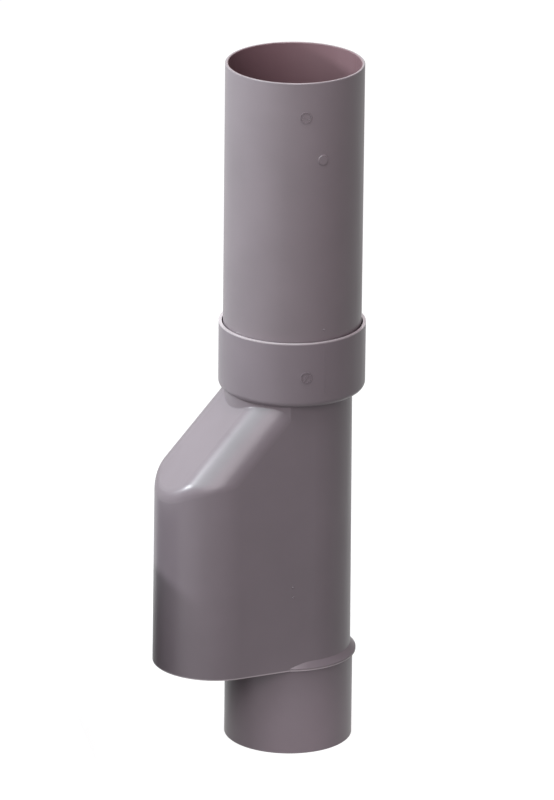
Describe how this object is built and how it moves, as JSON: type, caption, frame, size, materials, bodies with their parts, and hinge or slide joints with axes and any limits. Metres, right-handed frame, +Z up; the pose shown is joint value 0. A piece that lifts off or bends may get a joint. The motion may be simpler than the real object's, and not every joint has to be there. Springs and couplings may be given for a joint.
{
  "type": "downpipe leaf separator",
  "caption": "Moulded leaf separator for a round downpipe: a sliding sleeve stands in a collar over a hood with a sloping roof, an inner sloping sieve, an open leaf end and a round outlet.",
  "frame": {"origin": "middle of the outlet pipe's foot", "axes": "+Z up along the pipe, the hood's leaf end towards -X, symmetric about the XZ plane"},
  "size_m": [0.1353, 0.0914, 0.4404],
  "materials": {
    "sleeve": "moulded PVC, satin",
    "hood": "moulded PVC, satin",
    "outlet": "moulded PVC, satin",
    "sieve": "moulded PVC, satin"
  },
  "bodies": {
    "root": {"upper_sleeve": "sleeve", "hood": "hood", "outlet_pipe": "outlet", "leaf_sieve": "sieve"}
  },
  "joints": []
}
